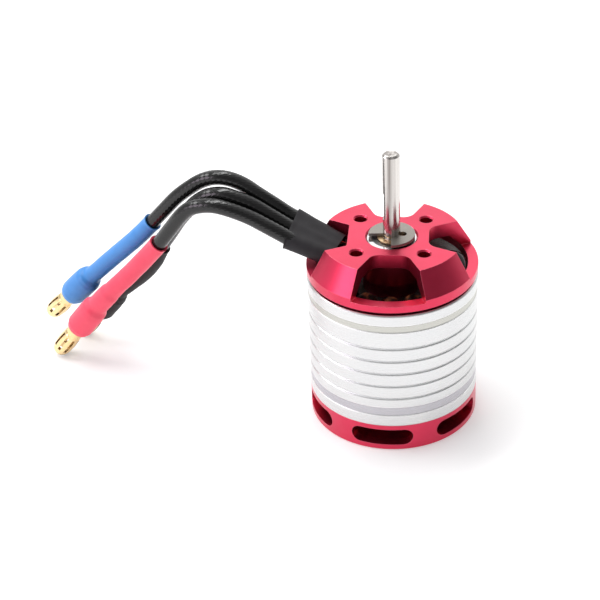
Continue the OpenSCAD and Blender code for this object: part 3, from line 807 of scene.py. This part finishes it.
# The sleeved winding end under the right window, and the middle tail, in millimetres
SLEEVE_ROUTE = [(8.3, -3, 33.3), (8.8, -1, 34.3), (10.2, 0.6, 35.3), (12, 1, 35.8),
                (13.3, 0, 35.7), (13.8, -2, 35.2), (13.4, -4, 34.6), (12.6, -6, 34),
                (11.6, -7.6, 33.5)]
SLEEVE_R = 1.2 * MM
SLEEVE_STEPS, SLEEVE_SIDES = 90, 24
TAIL_ROUTE = [(-10.5, 0, 32.4), (-8.6, 0, 33.6), (-8, 0, 35), (-8.7, 0, 36.2),
              (-10.2, 0, 36.8), (-12.5, 0, 37.5)]
TAIL_R = 0.65 * MM
TAIL_STRANDS = 7                         # one in the middle of the others
TAIL_TWIST = 0.9                         # radians in a millimetre
TAIL_STEPS, TAIL_SIDES = 48, 8


def make_sleeve():
    """A winding's end in its sleeve."""
    line = Path([Vector(p) * MM for p in SLEEVE_ROUTE])
    bm = bmesh.new()
    add_loft(bm, [line.ring(line.length * i / SLEEVE_STEPS, SLEEVE_R, SLEEVE_SIDES)
                  for i in range(SLEEVE_STEPS + 1)])
    piece = link("winding_end_sleeve", to_mesh("sleeve", bm), "stator",
                 MATERIALS["sleeve_black"])
    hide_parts("winding_sleeve")


def make_tails():
    """Three bundles of enamelled strands, twisted lightly."""
    bm = bmesh.new()
    for side in (-1, 0, 1):
        shift = Vector((0, COLLAR_IN.y + side * COLLAR_IN_HALF,
                        side * COLLAR_IN_HALF * math.sin(COLLAR_ROLL)))
        line = Path([Vector(p) * MM + shift for p in TAIL_ROUTE])
        for strand in range(TAIL_STRANDS):
            rings = []
            for i in range(TAIL_STEPS + 1):
                s = line.length * i / TAIL_STEPS
                p, _, across, up = line.at(s)
                a = 2 * math.pi * strand / (TAIL_STRANDS - 1) + TAIL_TWIST * s / MM
                out = 0 if strand == TAIL_STRANDS - 1 else TAIL_R * 2 / 3
                centre = p + out * (math.cos(a) * across + math.sin(a) * up)
                rings.append([centre + TAIL_R / 3 * (math.cos(b) * across + math.sin(b) * up)
                              for b in (2 * math.pi * k / TAIL_SIDES for k in range(TAIL_SIDES))])
            add_loft(bm, rings)
    piece = link("winding_tails", to_mesh("tails", bm), "stator", MATERIALS["copper"])
    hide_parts("phase_tails")


collar = make_collar()
for colour in ("blue", "red", "black"):
    lead, line = make_lead(colour)
    on_it = [make_shrink(colour), make_bullet(colour), collar]
for phase in PHASES:
    make_windings(phase)
make_sleeve()
make_tails()


# ---------------------------------------------------------------- floor and light
FLOOR_HALF = 1.5
FLOOR_GLOW = 0.33                        # keeps the floor white where the lights fall off
WORLD_LEVEL = 0.64
# A way in which the studio is brighter or darker: it starts at the first cosine from that way,
# is full at the second, and its strength is the last number
WORLD_PATCHES = (
    ((0.9, -0.35, 0.35), 0.6, 0.92, 0.16),      # dark on the right, which shades turned metal
    ((0, -0.8, 0.6), 0.75, 0.95, 0.3),          # dim in front, above
    ((0, 0.84, 0.54), 0.6, 0.9, 1.35),          # bright behind, above
    ((0, 0, -1), -0.16, -0.06, 1.0),            # white from just above the horizon down
)
# Name, place, the point it faces, width and height, watts, colour
LIGHTS = (
    ("top", (-0.25, 0.2, 0.85), (0, 0, 0.02), (0.75, 0.2), 4.0, (1, 1, 1)),
    ("left", (-0.64, -0.34, 0.28), (0, 0, 0.03), (0.35, 0.3), 1.2, (1, 0.84, 1)),
    ("left_top", (-0.68, 0.14, 0.57), (-0.03, 0, 0.04), (0.34, 0.2), 1.3, (1, 1, 1)),
)


def make_floor():
    """A pale floor."""
    bm = bmesh.new()
    bmesh.ops.create_grid(bm, x_segments=8, y_segments=8, size=FLOOR_HALF)
    mesh = to_mesh("floor", bm)
    floor = bpy.data.objects.new("floor", mesh)
    bpy.context.scene.collection.objects.link(floor)
    s = Shader("floor", (0.8, 0.8, 0.8), 0.0, 0.9, Specular_IOR_Level=0.0,
               Emission_Color=(1, 1, 1, 1), Emission_Strength=FLOOR_GLOW)
    mesh.materials.append(s.material)


def area_light(name, place, aim, size, power, colour):
    data = bpy.data.lights.new(name, "AREA")
    data.shape = "RECTANGLE"
    data.size, data.size_y = size
    data.energy = power
    data.color = colour
    lamp = bpy.data.objects.new(name, data)
    lamp.location = place
    lamp.rotation_euler = (Vector(aim) - Vector(place)).to_track_quat("-Z", "Y").to_euler()
    bpy.context.scene.collection.objects.link(lamp)


def make_world():
    """A white studio, darker or brighter in a few directions."""
    world = bpy.data.worlds.new("studio")
    world.use_nodes = True
    bpy.context.scene.world = world
    tree = world.node_tree
    background = tree.nodes["Background"]
    where = tree.nodes.new("ShaderNodeTexCoord").outputs["Generated"]

    def patch(direction, low, high):
        """How much of a patch there is in each direction, from 0 to 1."""
        dot = tree.nodes.new("ShaderNodeVectorMath")
        dot.operation = "DOT_PRODUCT"
        tree.links.new(where, dot.inputs[0])
        dot.inputs[1].default_value = Vector(direction).normalized()
        step = tree.nodes.new("ShaderNodeMapRange")
        step.interpolation_type = "SMOOTHSTEP"
        tree.links.new(dot.outputs["Value"], step.inputs["Value"])
        step.inputs["From Min"].default_value = low
        step.inputs["From Max"].default_value = high
        return step.outputs[0]

    strength = None
    for direction, low, high, level in WORLD_PATCHES:
        mix = tree.nodes.new("ShaderNodeMix")
        tree.links.new(patch(direction, low, high), mix.inputs[0])
        if strength is None:
            mix.inputs[2].default_value = WORLD_LEVEL
        else:
            tree.links.new(strength, mix.inputs[2])
        mix.inputs[3].default_value = level
        strength = mix.outputs[0]
    tree.links.new(strength, background.inputs["Strength"])
    background.inputs["Color"].default_value = (1, 1, 1, 1)


make_floor()
make_world()
for light in LIGHTS:
    area_light(*light)
bpy.context.scene.view_settings.view_transform = "Standard"
